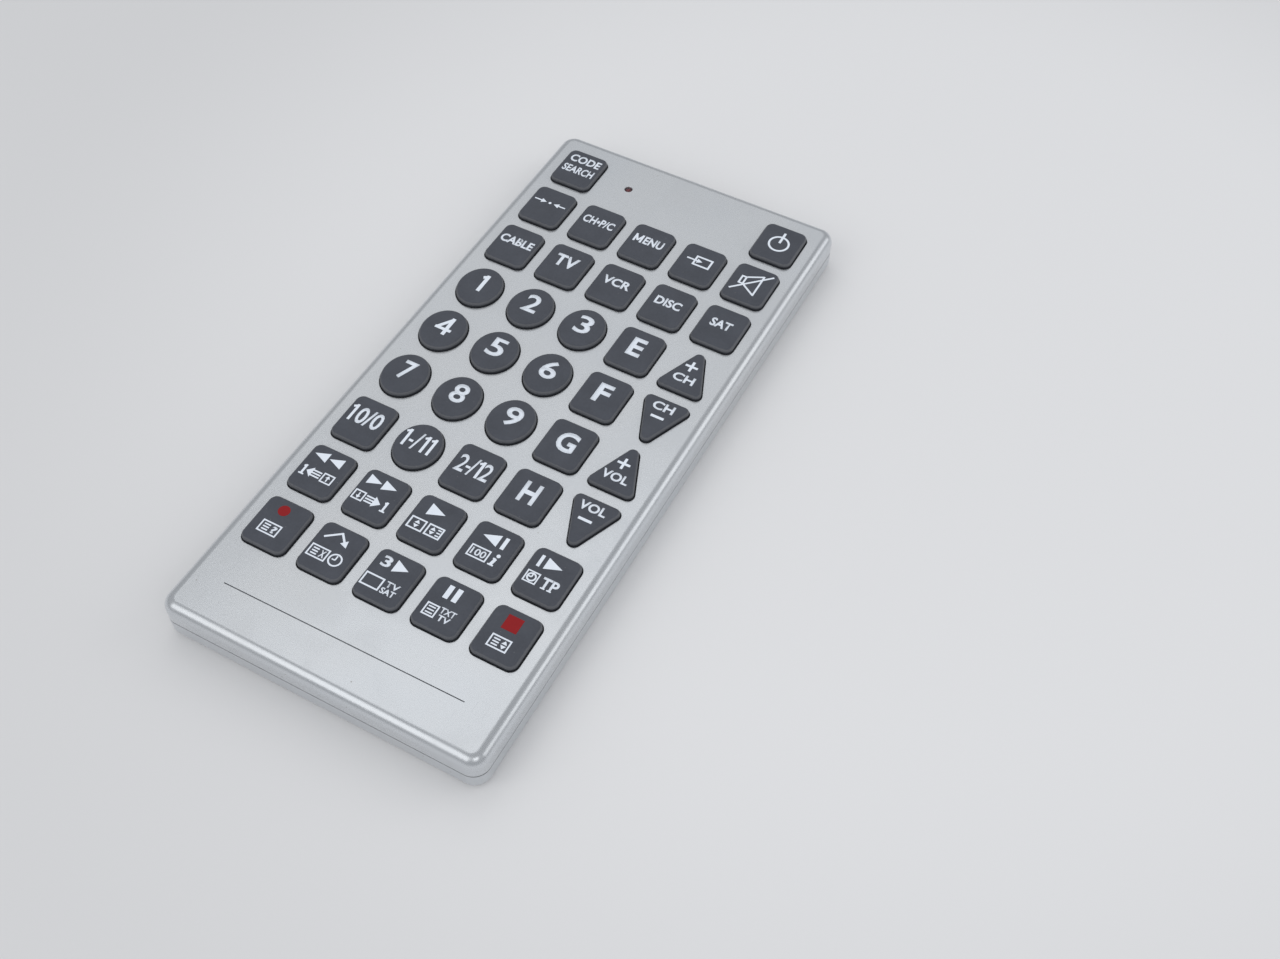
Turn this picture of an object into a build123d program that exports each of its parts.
from build123d import *
import math
import os

# A large flat remote control with big rubber keys, lying on its back.
# X runs across the keypad to the right, Y towards the far end with the infrared window, Z up.
# The origin is the middle of the underside. All sizes are in millimetres.

# Keypad grid, which sets the size of the housing
COLUMNS = 5
ROWS = 9
COLUMN_PITCH = 22.92
ROW_PITCH = 25.89
SIDE_MARGIN = 17.0
FAR_MARGIN = 20.55

# Housing shells
CORNER_RADIUS = 6.0
TOP_EDGE_RADIUS = 4.2
BOTTOM_EDGE_RADIUS = 3.2
SIDE_WALL = 2.2
TOP_WALL = 2.0
FLOOR = 2.0
PARTING_HEIGHT = 8.5
LIP_WIDTH = 1.0
LIP_HEIGHT = 1.2
LIP_GAP = 0.1

# Keys
KEY_WIDTH = 17.6
KEY_LENGTH = 20.4
KEY_CORNER = 3.0
TRIANGLE_CORNER = 2.2
KEY_PROUD = 2.0
KEY_TRAVEL = 1.0
KEY_DRAFT = 0.15
KEY_RIM = 0.7
KEY_HOLE_GAP = 0.35
CONTACT_GAP = 0.1

# Curves of the many small pieces are drawn as short flats, counted here
CORNER_STEPS = 3
OVAL_SIDES = 20
POST_SIDES = 12

# Rubber mat and circuit board
MAT_THICKNESS = 1.2
MAT_GAP = 0.3
MAT_EDGE = 0.9
BOARD_THICKNESS = 1.6
BOARD_GAP = 0.6
CLAMP_RIB_DEPTH = 1.8
CLAMP_RIB_WIDTH = 1.0
SUPPORT_RIB_WIDTH = 1.2
RIB_END_GAP = 8.0

# Two AAA cells lying across the near end
CELL_DIAMETER = 10.5
CELL_LENGTH = 43.3
CELL_NUB_DIAMETER = 3.8
CELL_NUB_LENGTH = 1.2
CELL_GAP = 0.45
CELL_LIFT = 0.55
CONTACT_ROOM = 4.0

# Battery bay in the rear shell
BAY_WALL = 1.8
BAY_ROOF = 1.0
BAY_ROOF_GAP = 0.3
ROOF_SPARE = 0.65
TOE_ROOM = 2.7
BAY_TO_BOARD = 1.15

# Battery door with two toes and a sprung latch
DOOR_THICKNESS = 1.75
DOOR_LEDGE = 0.9
DOOR_GAP = 0.25
DOOR_RECESS = 0.15
DOOR_RIB_HEIGHT = 0.5
TOE_SPACING = 36.0
TOE_WIDTH = 7.0
TOE_REACH = 1.7
TOE_THICKNESS = 1.0
TOE_LIFT = 0.15
TOE_BLOCK = 1.3
TOE_SWING_ROOM = 1.2
LATCH_WIDTH = 12.0
LATCH_SPRING_GAP = 1.1
LATCH_THICKNESS = 0.9
LATCH_HEIGHT = 4.3
LATCH_BITE = 0.8
LATCH_NOSE = 0.9
LATCH_SIDE_GAP = 0.3
POCKET_WALL = 1.2
POCKET_ROOM = 0.6
SCOOP_RADIUS = 9.0
SCOOP_DEPTH = 1.1
SCOOP_WIDTH = 18.0

# Case screws and their posts
POST_RADIUS = 2.5
POST_WALL_GAP = 0.3
PILOT_RADIUS = 1.15
PILOT_FLOOR = 1.6
TOWER_RADIUS = 3.3
SCREW_RADIUS = 1.1
SCREW_LENGTH = 8.0
SCREW_HEAD_RADIUS = 2.4
SCREW_HEAD_HEIGHT = 1.8
SCREW_RECESS = 5.0
SCREW_SLACK = 0.25
FAR_SCREW_INSET = 7.3
NEAR_SCREW_INSET = 9.9
POST_BOARD_GAP = 0.4

# Infrared window and the lamps
WINDOW_WIDTH = 30.0
WINDOW_HEIGHT = 8.0
WINDOW_FLANGE = 1.5
WINDOW_FLANGE_THICKNESS = 1.0
WINDOW_GAP = 0.1
LAMP_RADIUS = 2.5
LAMP_LENGTH = 5.2
LAMP_RIM = 0.4
LAMP_RIM_HEIGHT = 1.0
LAMP_WINDOW_GAP = 1.0
LAMP_LEAD = 0.5
LAMP_LEAD_SPACING = 2.54
LAMP_LEAD_RUN = 2.5
INDICATOR_RADIUS = 1.5
INDICATOR_HOLE_GAP = 0.1
INDICATOR_BELOW_TOP = 0.3
INDICATOR_OFFSET = 0.85

# Parts under the board
CHIP_SIZE = (13.0, 7.6, 2.3)
CHIP_PLACE = (-10.0, 50.0)
CHIP_LEGS = 10
CHIP_LEG_PITCH = 1.27
CHIP_LEG_WIDTH = 0.45
CHIP_LEG_REACH = 1.4
RESONATOR_SIZE = (8.0, 3.0, 6.0)
RESONATOR_PLACE = (20.0, 50.0)
CAPACITOR_RADIUS = 2.5
CAPACITOR_LENGTH = 7.0
CAPACITOR_PLACE = (-30.0, 0.0)

# Sheet metal of the battery contacts
CONTACT_SHEET = 0.4
CONTACT_WIDTH = 8.0
CONTACT_HEIGHT = 8.0
CONTACT_BULGE = 0.8
CONTACT_TIP_GAP = 0.25

# Sizes that follow from the ones above
BAY_LENGTH = CELL_LENGTH + CELL_NUB_LENGTH + 2 * CONTACT_ROOM
BAY_DEPTH = 2 * CELL_DIAMETER + 3 * CELL_GAP
KEY_SPACE = KEY_LENGTH / 2 + KEY_DRAFT + MAT_GAP + MAT_EDGE
NEAR_MARGIN = SIDE_WALL + TOE_ROOM + 2 * BAY_WALL + BAY_DEPTH + BAY_TO_BOARD + BOARD_GAP + KEY_SPACE
BODY_WIDTH = (COLUMNS - 1) * COLUMN_PITCH + 2 * SIDE_MARGIN
BODY_LENGTH = FAR_MARGIN + (ROWS - 1) * ROW_PITCH + NEAR_MARGIN
CELL_HEIGHT = FLOOR + CELL_LIFT + CELL_DIAMETER / 2
BAY_TOP = CELL_HEIGHT + CELL_DIAMETER / 2 + BAY_ROOF_GAP
BODY_HEIGHT = BAY_TOP + BAY_ROOF + ROOF_SPARE + TOP_WALL
TOP_INSIDE = BODY_HEIGHT - TOP_WALL
MAT_TOP = TOP_INSIDE - CLAMP_RIB_DEPTH
BOARD_TOP = MAT_TOP - MAT_THICKNESS
BOARD_BOTTOM = BOARD_TOP - BOARD_THICKNESS
KEY_FOOT = BOARD_TOP + KEY_TRAVEL + CONTACT_GAP
KEY_TOP = BODY_HEIGHT + KEY_PROUD

# Lines across the battery bay, from the near end to the keypad
NEAR_FACE = -BODY_LENGTH / 2
FAR_FACE = BODY_LENGTH / 2
BAY_NEAR = NEAR_FACE + SIDE_WALL + TOE_ROOM + BAY_WALL
BAY_FAR = BAY_NEAR + BAY_DEPTH
DOOR_NEAR = BAY_NEAR - DOOR_LEDGE + DOOR_GAP
DOOR_FAR = BAY_FAR + DOOR_LEDGE - DOOR_GAP
LATCH_FAR = DOOR_FAR + LATCH_SPRING_GAP + LATCH_THICKNESS
LEDGE_EDGE = LATCH_FAR + LATCH_SIDE_GAP
POCKET_FAR = LEDGE_EDGE + LATCH_BITE + POCKET_ROOM
LATCH_TURN = LATCH_THICKNESS + LATCH_SPRING_GAP / 2
DOOR_TOP = DOOR_RECESS + DOOR_THICKNESS
LATCH_TOP = DOOR_TOP + LATCH_HEIGHT + LATCH_TURN
POCKET_TOP = LATCH_TOP + POCKET_ROOM
BOARD_NEAR = BAY_FAR + BAY_WALL + BAY_TO_BOARD
BOARD_FAR = FAR_FACE - SIDE_WALL - WINDOW_FLANGE_THICKNESS - BOARD_GAP
BOARD_WIDTH = BODY_WIDTH - 2 * (SIDE_WALL + BOARD_GAP)

# Names of the keys, row by row from the far end, and which of them aren't square
KEY_ROWS = [
    ["code_search", None, None, None, "power"],
    ["recall", "channel_program", "menu", "input", "mute"],
    ["cable", "tv", "tape", "disc", "satellite"],
    ["1", "2", "3", "e", "channel_up"],
    ["4", "5", "6", "f", "channel_down"],
    ["7", "8", "9", "g", "volume_up"],
    ["0", "11", "12", "h", "volume_down"],
    ["rewind", "fast_forward", "play", "step_back", "step_forward"],
    ["record", "skip", "slow_play", "pause", "stop"],
]
ROUND_KEYS = ["1", "2", "3", "4", "5", "6", "7", "8", "9", "11"]
UP_KEYS = ["channel_up", "volume_up"]
DOWN_KEYS = ["channel_down", "volume_down"]


def key_places():
    """Each key's name with the centre of its place in the grid."""
    places = []
    for row, names in enumerate(KEY_ROWS):
        for column, name in enumerate(names):
            if name:
                x = (column - (COLUMNS - 1) / 2) * COLUMN_PITCH
                y = row_line(row)
                places.append((name, x, y))
    return places


def row_line(row):
    """Y of the centre of a row of keys, where 0 is the row at the far end."""
    return FAR_FACE - FAR_MARGIN - row * ROW_PITCH


def soft_corners(centres, radius):
    """Polygon round circles at the centres, taken anticlockwise, with short flats at each."""
    points = []
    for number, (x, y) in enumerate(centres):
        before_x, before_y = centres[number - 1]
        after_x, after_y = centres[(number + 1) % len(centres)]
        first = math.atan2(y - before_y, x - before_x) - math.pi / 2
        last = math.atan2(after_y - y, after_x - x) - math.pi / 2
        turn = (last - first) % (2 * math.pi)
        for step in range(CORNER_STEPS + 1):
            angle = first + turn * step / CORNER_STEPS
            points.append((x + radius * math.cos(angle), y + radius * math.sin(angle)))
    return Polygon(*points, align=None)


def oval(half_width, half_length):
    """Ellipse in short flats."""
    angles = [2 * math.pi * step / OVAL_SIDES for step in range(OVAL_SIDES)]
    points = [(half_width * math.cos(angle), half_length * math.sin(angle)) for angle in angles]
    return Polygon(*points, align=None)


def key_outline(name, grow):
    """Flat outline of a key, wider and longer by grow on every side."""
    if name in ROUND_KEYS:
        return oval(KEY_WIDTH / 2 + grow, KEY_LENGTH / 2 + grow)
    corner = KEY_CORNER
    if name in UP_KEYS + DOWN_KEYS:
        corner = TRIANGLE_CORNER
    half_width = KEY_WIDTH / 2 - corner
    half_length = KEY_LENGTH / 2 - corner
    foot = [(-half_width, -half_length), (half_width, -half_length)]
    if name in UP_KEYS:
        return soft_corners(foot + [(0, half_length)], corner + grow)
    if name in DOWN_KEYS:
        return Rot(0, 0, 180) * soft_corners(foot + [(0, half_length)], corner + grow)
    head = [(half_width, half_length), (-half_width, half_length)]
    return soft_corners(foot + head, corner + grow)


def make_key(name, x, y):
    """Rubber key: its sides lean in from the foot to a bevelled rim round the top face."""
    lean = math.degrees(math.atan2(KEY_DRAFT, BODY_HEIGHT - KEY_FOOT))
    key = extrude(key_outline(name, KEY_DRAFT), KEY_TOP - KEY_FOOT, taper=lean)
    key = chamfer(end_edges(key, -1), KEY_RIM)
    return Pos(x, y, KEY_FOOT) * key


def block(low, high):
    """Box between two opposite corners."""
    size = [b - a for a, b in zip(low, high)]
    middle = [(a + b) / 2 for a, b in zip(low, high)]
    return Pos(*middle) * Box(*size)


def rounded_slab(inset, bottom, top):
    """Slab in the housing's outline, drawn in by inset from its sides."""
    outline = RectangleRounded(
        BODY_WIDTH - 2 * inset, BODY_LENGTH - 2 * inset, CORNER_RADIUS - inset
    )
    return Pos(0, 0, bottom) * extrude(outline, top - bottom)


def end_edges(solid, end):
    """Edges round the lowest (0) or highest (-1) face of a solid."""
    return solid.faces().sort_by(Axis.Z)[end].edges()


def housing():
    """Outside form of the closed housing, as one block."""
    form = rounded_slab(0, 0, BODY_HEIGHT)
    form = fillet(end_edges(form, -1), TOP_EDGE_RADIUS)
    return fillet(end_edges(form, 0), BOTTOM_EDGE_RADIUS)


def hollow():
    """Space inside the side walls, between the floor and the top wall."""
    return rounded_slab(SIDE_WALL, FLOOR, TOP_INSIDE)


def screw_places():
    """The four case screws, in pairs beside the side walls."""
    side = BODY_WIDTH / 2 - SIDE_WALL - POST_WALL_GAP - POST_RADIUS
    lines = [NEAR_FACE + NEAR_SCREW_INSET, FAR_FACE - FAR_SCREW_INSET]
    return [(x, y) for y in lines for x in (-side, side)]


def rods(places, radius, bottom, top):
    """One upright round rod at each place."""
    return [Pos(x, y, (bottom + top) / 2) * Cylinder(radius, top - bottom) for x, y in places]


def posts(places, radius, bottom, top):
    """One upright rod with a few flat sides at each place, for what lies inside the housing."""
    rod = extrude(RegularPolygon(radius, POST_SIDES), top - bottom)
    return [Pos(x, y, bottom) * rod for x, y in places]


def indicator_place():
    """The small lamp sits in the empty stretch of the first row."""
    return (-COLUMN_PITCH, row_line(0) + INDICATOR_OFFSET)


def window_block(gap):
    """The window's part in the wall, larger by gap on its four sides."""
    half_width = WINDOW_WIDTH / 2 + gap
    half_height = WINDOW_HEIGHT / 2 + gap
    low = (-half_width, FAR_FACE - SIDE_WALL, PARTING_HEIGHT - half_height)
    high = (half_width, FAR_FACE, PARTING_HEIGHT + half_height)
    return block(low, high)


def window_flange(gap):
    """The window's wider plate behind the wall."""
    half_width = WINDOW_WIDTH / 2 + WINDOW_FLANGE + gap
    half_height = WINDOW_HEIGHT / 2 + WINDOW_FLANGE + gap
    face = FAR_FACE - SIDE_WALL
    low = (-half_width, face - WINDOW_FLANGE_THICKNESS, PARTING_HEIGHT - half_height)
    return block(low, (half_width, face, PARTING_HEIGHT + half_height))


def make_front_shell():
    """Top half of the housing, with a hole for each key and ribs that hold the mat down."""
    upper = block(
        (-BODY_WIDTH, -BODY_LENGTH, PARTING_HEIGHT), (BODY_WIDTH, BODY_LENGTH, BODY_HEIGHT)
    )
    shell = housing() & upper
    shell -= hollow()
    shell -= rounded_slab(
        SIDE_WALL - LIP_WIDTH - LIP_GAP, PARTING_HEIGHT, PARTING_HEIGHT + LIP_HEIGHT + LIP_GAP
    )
    holes = [
        Pos(x, y, TOP_INSIDE) * extrude(key_outline(name, KEY_HOLE_GAP), TOP_WALL)
        for name, x, y in key_places()
    ]
    lamp_radius = INDICATOR_RADIUS + INDICATOR_HOLE_GAP
    lamp_hole = rods([indicator_place()], lamp_radius, TOP_INSIDE, BODY_HEIGHT)
    shell -= holes + lamp_hole
    rib_end = BODY_WIDTH / 2 - RIB_END_GAP
    for row in range(ROWS - 1):
        line = row_line(row) - ROW_PITCH / 2
        shell += block(
            (-rib_end, line - CLAMP_RIB_WIDTH / 2, MAT_TOP),
            (rib_end, line + CLAMP_RIB_WIDTH / 2, TOP_INSIDE + TOP_WALL / 2),
        )
    shell += posts(screw_places(), POST_RADIUS, PARTING_HEIGHT, TOP_INSIDE + TOP_WALL / 2)
    shell -= posts(screw_places(), PILOT_RADIUS, PARTING_HEIGHT, TOP_INSIDE - PILOT_FLOOR)
    shell -= window_block(WINDOW_GAP)
    return shell - window_flange(WINDOW_GAP)


def board_slab(inset, bottom, top):
    """Board or mat: a plate that clears the screw posts."""
    width = BOARD_WIDTH - 2 * inset
    length = BOARD_FAR - BOARD_NEAR - 2 * inset
    corner = CORNER_RADIUS - SIDE_WALL - BOARD_GAP - inset
    outline = Pos(0, (BOARD_FAR + BOARD_NEAR) / 2, bottom) * RectangleRounded(width, length, corner)
    slab = extrude(outline, top - bottom)
    return slab - posts(screw_places(), POST_RADIUS + POST_BOARD_GAP, bottom, top)


def make_circuit_board():
    """Board that carries the mat, the lamps and the chip."""
    return board_slab(0, BOARD_BOTTOM, BOARD_TOP)


def make_keypad_mat():
    """Rubber sheet on the board, with an opening round the foot of each key."""
    mat = board_slab(BOARD_GAP, BOARD_TOP, MAT_TOP)
    grow = 2 * (KEY_DRAFT + MAT_GAP)
    opening = extrude(Rectangle(KEY_WIDTH + grow, KEY_LENGTH + grow), MAT_THICKNESS)
    mat -= [Pos(x, y, BOARD_TOP) * opening for _, x, y in key_places()]
    lamp_clear = INDICATOR_RADIUS + LAMP_RIM + MAT_GAP
    return mat - posts([indicator_place()], lamp_clear, BOARD_TOP, MAT_TOP)


def bay_floor_opening():
    """Opening in the floor that the battery door fills, with its bay for the latch."""
    half = BAY_LENGTH / 2 + DOOR_LEDGE
    opening = block((-half, BAY_NEAR - DOOR_LEDGE, 0), (half, BAY_FAR + DOOR_LEDGE, FLOOR))
    latch_half = LATCH_WIDTH / 2 + LATCH_SIDE_GAP
    return opening + block((-latch_half, BAY_FAR, 0), (latch_half, LEDGE_EDGE, FLOOR))


def latch_pocket(wall):
    """Space for the latch behind the far wall of the bay, larger by wall on its closed sides."""
    half = LATCH_WIDTH / 2 + POCKET_ROOM + wall
    return block((-half, BAY_FAR, FLOOR), (half, POCKET_FAR + wall, POCKET_TOP + wall))


def toe_slots():
    """Slots in the near wall of the bay, high enough for the toes as the door swings."""
    half = TOE_WIDTH / 2 + LATCH_SIDE_GAP
    top = FLOOR + TOE_LIFT + TOE_THICKNESS + TOE_SWING_ROOM
    return [
        block((x - half, BAY_NEAR - BAY_WALL, FLOOR), (x + half, BAY_NEAR, top))
        for x in (-TOE_SPACING / 2, TOE_SPACING / 2)
    ]


def make_rear_shell():
    """Bottom half of the housing, with the battery bay, board ribs and screw towers."""
    lower = block((-BODY_WIDTH, -BODY_LENGTH, 0), (BODY_WIDTH, BODY_LENGTH, PARTING_HEIGHT))
    shell = housing() & lower
    shell += rounded_slab(SIDE_WALL - LIP_WIDTH, PARTING_HEIGHT, PARTING_HEIGHT + LIP_HEIGHT)
    shell -= hollow()
    half = BAY_LENGTH / 2 + BAY_WALL
    shell += block(
        (-half, BAY_NEAR - BAY_WALL, FLOOR / 2), (half, BAY_FAR + BAY_WALL, BAY_TOP + BAY_ROOF)
    )
    shell += latch_pocket(POCKET_WALL)
    shell -= block(
        (-BAY_LENGTH / 2, BAY_NEAR, 0), (BAY_LENGTH / 2, BAY_FAR, BAY_TOP)
    )
    shell -= latch_pocket(0)
    shell -= toe_slots()
    shell -= bay_floor_opening()
    rib_end = BODY_WIDTH / 2 - RIB_END_GAP
    for row in range(1, ROWS - 1, 2):
        line = row_line(row) - ROW_PITCH / 2
        shell += block(
            (-rib_end, line - SUPPORT_RIB_WIDTH / 2, FLOOR / 2),
            (rib_end, line + SUPPORT_RIB_WIDTH / 2, BOARD_BOTTOM),
        )
    shell += posts(screw_places(), TOWER_RADIUS, FLOOR / 2, PARTING_HEIGHT)
    head_hole = SCREW_HEAD_RADIUS + SCREW_SLACK
    shell -= rods(screw_places(), head_hole, 0, SCREW_RECESS)
    shell -= posts(screw_places(), SCREW_RADIUS + SCREW_SLACK, SCREW_RECESS, PARTING_HEIGHT)
    scoop = Pos(0, LEDGE_EDGE, SCOOP_DEPTH - SCOOP_RADIUS) * (
        Rot(0, 90, 0) * Cylinder(SCOOP_RADIUS, SCOOP_WIDTH)
    )
    shell -= scoop
    shell -= window_block(WINDOW_GAP)
    return shell - window_flange(WINDOW_GAP)


def make_battery_door():
    """Door plate with stiffening ribs and two toes that hook over the floor."""
    half = BAY_LENGTH / 2 + DOOR_LEDGE - DOOR_GAP
    door = block((-half, DOOR_NEAR, DOOR_RECESS), (half, DOOR_FAR, DOOR_TOP))
    toe_bottom = FLOOR + TOE_LIFT
    toe_top = toe_bottom + TOE_THICKNESS
    toe_tip = BAY_NEAR - DOOR_LEDGE - TOE_REACH
    toe_root = BAY_NEAR + DOOR_RECESS
    for x in (-TOE_SPACING / 2, TOE_SPACING / 2):
        low_x = x - TOE_WIDTH / 2
        high_x = x + TOE_WIDTH / 2
        door += block(
            (low_x, toe_root, DOOR_TOP - DOOR_THICKNESS / 2), (high_x, toe_root + TOE_BLOCK, toe_top)
        )
        door += block((low_x, toe_tip, toe_bottom), (high_x, toe_root, toe_top))
    rib_line = BAY_NEAR + CELL_GAP + CELL_DIAMETER / 2
    for line in (rib_line, rib_line + CELL_DIAMETER + CELL_GAP):
        door += block(
            (-TOE_SPACING / 2, line - DOOR_RIB_HEIGHT, DOOR_RECESS),
            (TOE_SPACING / 2, line + DOOR_RIB_HEIGHT, DOOR_TOP + DOOR_RIB_HEIGHT),
        )
    return door


def make_door_latch():
    """Tongue at the door's far edge: up, round a half turn, down again, with a nose."""
    turn_y = DOOR_FAR + LATCH_SPRING_GAP / 2
    turn_z = DOOR_TOP + LATCH_HEIGHT
    near_leg = DOOR_FAR - LATCH_THICKNESS / 2
    far_leg = LATCH_FAR - LATCH_THICKNESS / 2
    path = Wire(
        [
            Line((near_leg, DOOR_TOP), (near_leg, turn_z)),
            ThreePointArc(
                (near_leg, turn_z),
                (turn_y, turn_z + (far_leg - near_leg) / 2),
                (far_leg, turn_z),
            ),
            Line((far_leg, turn_z), (far_leg, DOOR_RECESS)),
        ]
    )
    tongue = trace(path, line_width=LATCH_THICKNESS)
    nose_bottom = FLOOR + TOE_LIFT
    nose = Polygon(
        (LATCH_FAR, nose_bottom),
        (LATCH_FAR + LATCH_BITE, nose_bottom),
        (LATCH_FAR + LATCH_BITE, nose_bottom + LATCH_NOSE / 2),
        (LATCH_FAR, nose_bottom + 2 * LATCH_NOSE),
        align=None,
    )
    return extrude(Plane.YZ * (tongue + nose), LATCH_WIDTH / 2, both=True)


def cell_lines():
    """Y of the two cells."""
    first = BAY_NEAR + CELL_GAP + CELL_DIAMETER / 2
    return (first, first + CELL_DIAMETER + CELL_GAP)


def make_battery_cell(way, line):
    """Dry cell lying across the housing, its nub pointing to +X when way is 1."""
    middle = -way * CELL_NUB_LENGTH / 2
    lying = Rot(0, 90, 0)
    can = Pos(middle, line, CELL_HEIGHT) * lying * Cylinder(CELL_DIAMETER / 2, CELL_LENGTH)
    nub_x = middle + way * (CELL_LENGTH + CELL_NUB_LENGTH) / 2
    nub = posts([(0, 0)], CELL_NUB_DIAMETER / 2, -CELL_NUB_LENGTH / 2, CELL_NUB_LENGTH / 2)
    return can + Pos(nub_x, line, CELL_HEIGHT) * lying * nub[0]


def contact_spring(side, line):
    """Bent leaf between the end wall of the bay and the end of a cell."""
    wall_x = BAY_LENGTH / 2 - CONTACT_SHEET
    tip_x = (CELL_LENGTH + CELL_NUB_LENGTH) / 2 + CONTACT_TIP_GAP + CONTACT_SHEET / 2
    foot = CELL_HEIGHT - CONTACT_HEIGHT / 2
    top = CELL_HEIGHT + CONTACT_HEIGHT / 2
    path = Wire(
        [
            Line((side * wall_x, foot + CONTACT_SHEET), (side * tip_x, CELL_HEIGHT)),
            Line((side * tip_x, CELL_HEIGHT), (side * (wall_x - CONTACT_BULGE), top)),
        ]
    )
    leaf = trace(path, line_width=CONTACT_SHEET)
    leaf = Plane.XZ * leaf
    return Pos(0, line, 0) * extrude(leaf, CONTACT_WIDTH / 2, both=True)


def contact_plate(side, near, far, top):
    """Flat plate of a contact against the end wall of the bay."""
    wall = BAY_LENGTH / 2
    foot = CELL_HEIGHT - CONTACT_HEIGHT / 2
    inner = min(side * wall, side * (wall - CONTACT_SHEET))
    return block((inner, near, foot), (inner + CONTACT_SHEET, far, top))


def make_battery_link():
    """One plate at the left end that joins the two cells in a row."""
    near, far = cell_lines()
    half = CONTACT_WIDTH / 2
    top = CELL_HEIGHT + CONTACT_HEIGHT / 2
    link = contact_plate(-1, near - half, far + half, top)
    for line in (near, far):
        link += contact_spring(-1, line)
    return link


def make_battery_terminals():
    """Two separate contacts at the right end of the bay."""
    half = CONTACT_WIDTH / 2
    top = CELL_HEIGHT + CONTACT_HEIGHT / 2
    contacts = []
    for line in cell_lines():
        contacts.append(
            contact_plate(1, line - half, line + half, top) + contact_spring(1, line)
        )
    return Compound(contacts)


def make_case_screws():
    """Four equal screws, their heads up inside the towers of the rear shell."""
    screws = []
    for place in screw_places():
        head = posts([place], SCREW_HEAD_RADIUS, SCREW_RECESS - SCREW_HEAD_HEIGHT, SCREW_RECESS)
        shank = posts([place], SCREW_RADIUS, SCREW_RECESS, SCREW_RECESS + SCREW_LENGTH)
        screws.append(head[0] + shank[0])
    return Compound(screws)


def make_infrared_window():
    """Dark window flush with the far wall, with a flange behind it."""
    return window_block(0) + window_flange(0)


def lamp_solid(radius, length):
    """Lamp with a bevelled nose at the top and a rim at the foot."""
    body = extrude(RegularPolygon(radius, POST_SIDES), length)
    body = chamfer(end_edges(body, -1), radius / 2)
    return body + extrude(RegularPolygon(radius + LAMP_RIM, POST_SIDES), LAMP_RIM_HEIGHT)


def make_infrared_emitter():
    """Lamp that points out through the window, hung from the board by its two leads."""
    lamp_height = BOARD_BOTTOM - LAMP_RADIUS - LAMP_RIM
    tip = FAR_FACE - SIDE_WALL - WINDOW_FLANGE_THICKNESS - LAMP_WINDOW_GAP
    foot = tip - LAMP_LENGTH - LAMP_RADIUS
    lamp = Pos(0, foot, lamp_height) * Rot(-90, 0, 0)
    lamp = lamp * lamp_solid(LAMP_RADIUS, LAMP_LENGTH + LAMP_RADIUS)
    for x in (-LAMP_LEAD_SPACING / 2, LAMP_LEAD_SPACING / 2):
        low_x = x - LAMP_LEAD / 2
        high_x = x + LAMP_LEAD / 2
        bend = foot - LAMP_LEAD_RUN
        lamp += block(
            (low_x, bend, lamp_height - LAMP_LEAD / 2), (high_x, foot, lamp_height + LAMP_LEAD / 2)
        )
        lamp += block(
            (low_x, bend, lamp_height - LAMP_LEAD / 2), (high_x, bend + LAMP_LEAD, BOARD_BOTTOM)
        )
    return lamp


def make_indicator_lamp():
    """Small lamp that stands on the board and looks out beside the first key."""
    x, y = indicator_place()
    tall = BODY_HEIGHT - INDICATOR_BELOW_TOP - BOARD_TOP
    return Pos(x, y, BOARD_TOP) * lamp_solid(INDICATOR_RADIUS, tall)


def make_control_chip():
    """Flat chip under the board with a row of legs on each long side."""
    length, depth, tall = CHIP_SIZE
    x, y = CHIP_PLACE
    stand = CHIP_LEG_WIDTH / 2
    case_top = BOARD_BOTTOM - stand
    body = block(
        (x - length / 2, y - depth / 2, case_top - tall), (x + length / 2, y + depth / 2, case_top)
    )
    body = chamfer(body.faces().sort_by(Axis.Z)[0].edges(), CHIP_LEG_WIDTH)
    middle = case_top - tall / 2
    first = x - (CHIP_LEGS - 1) * CHIP_LEG_PITCH / 2
    for number in range(CHIP_LEGS):
        leg_x = first + number * CHIP_LEG_PITCH
        for side in (-1, 1):
            near = y + side * depth / 2
            far = y + side * (depth / 2 + CHIP_LEG_REACH)
            low_y = min(near, far)
            high_y = max(near, far)
            body += block(
                (leg_x - CHIP_LEG_WIDTH / 2, low_y, middle),
                (leg_x + CHIP_LEG_WIDTH / 2, high_y, BOARD_BOTTOM),
            )
    return body


def make_resonator():
    """Small ceramic block that sets the chip's clock."""
    length, depth, tall = RESONATOR_SIZE
    x, y = RESONATOR_PLACE
    return block(
        (x - length / 2, y - depth / 2, BOARD_BOTTOM - tall),
        (x + length / 2, y + depth / 2, BOARD_BOTTOM),
    )


def make_capacitor():
    """Small can lying under the board."""
    x, y = CAPACITOR_PLACE
    can = Rot(0, 90, 0) * Cylinder(CAPACITOR_RADIUS, CAPACITOR_LENGTH)
    return Pos(x, y, BOARD_BOTTOM - CAPACITOR_RADIUS) * can


def write(name, shape):
    """Save one piece under its name."""
    shape.label = name
    export_step(shape, f"parts/{name}.step")


def main():
    os.makedirs("parts", exist_ok=True)
    for name, x, y in key_places():
        write("key_" + name, make_key(name, x, y))
    write("front_shell", make_front_shell())
    write("rear_shell", make_rear_shell())
    write("battery_door", make_battery_door())
    write("door_latch", make_door_latch())
    write("circuit_board", make_circuit_board())
    write("keypad_mat", make_keypad_mat())
    near, far = cell_lines()
    write("battery_cell_1", make_battery_cell(1, near))
    write("battery_cell_2", make_battery_cell(-1, far))
    write("battery_link", make_battery_link())
    write("battery_terminals", make_battery_terminals())
    write("case_screws", make_case_screws())
    write("infrared_window", make_infrared_window())
    write("infrared_emitter", make_infrared_emitter())
    write("indicator_lamp", make_indicator_lamp())
    write("control_chip", make_control_chip())
    write("resonator", make_resonator())
    write("capacitor", make_capacitor())
    print("width", BODY_WIDTH, "length", BODY_LENGTH, "height", KEY_TOP)


main()
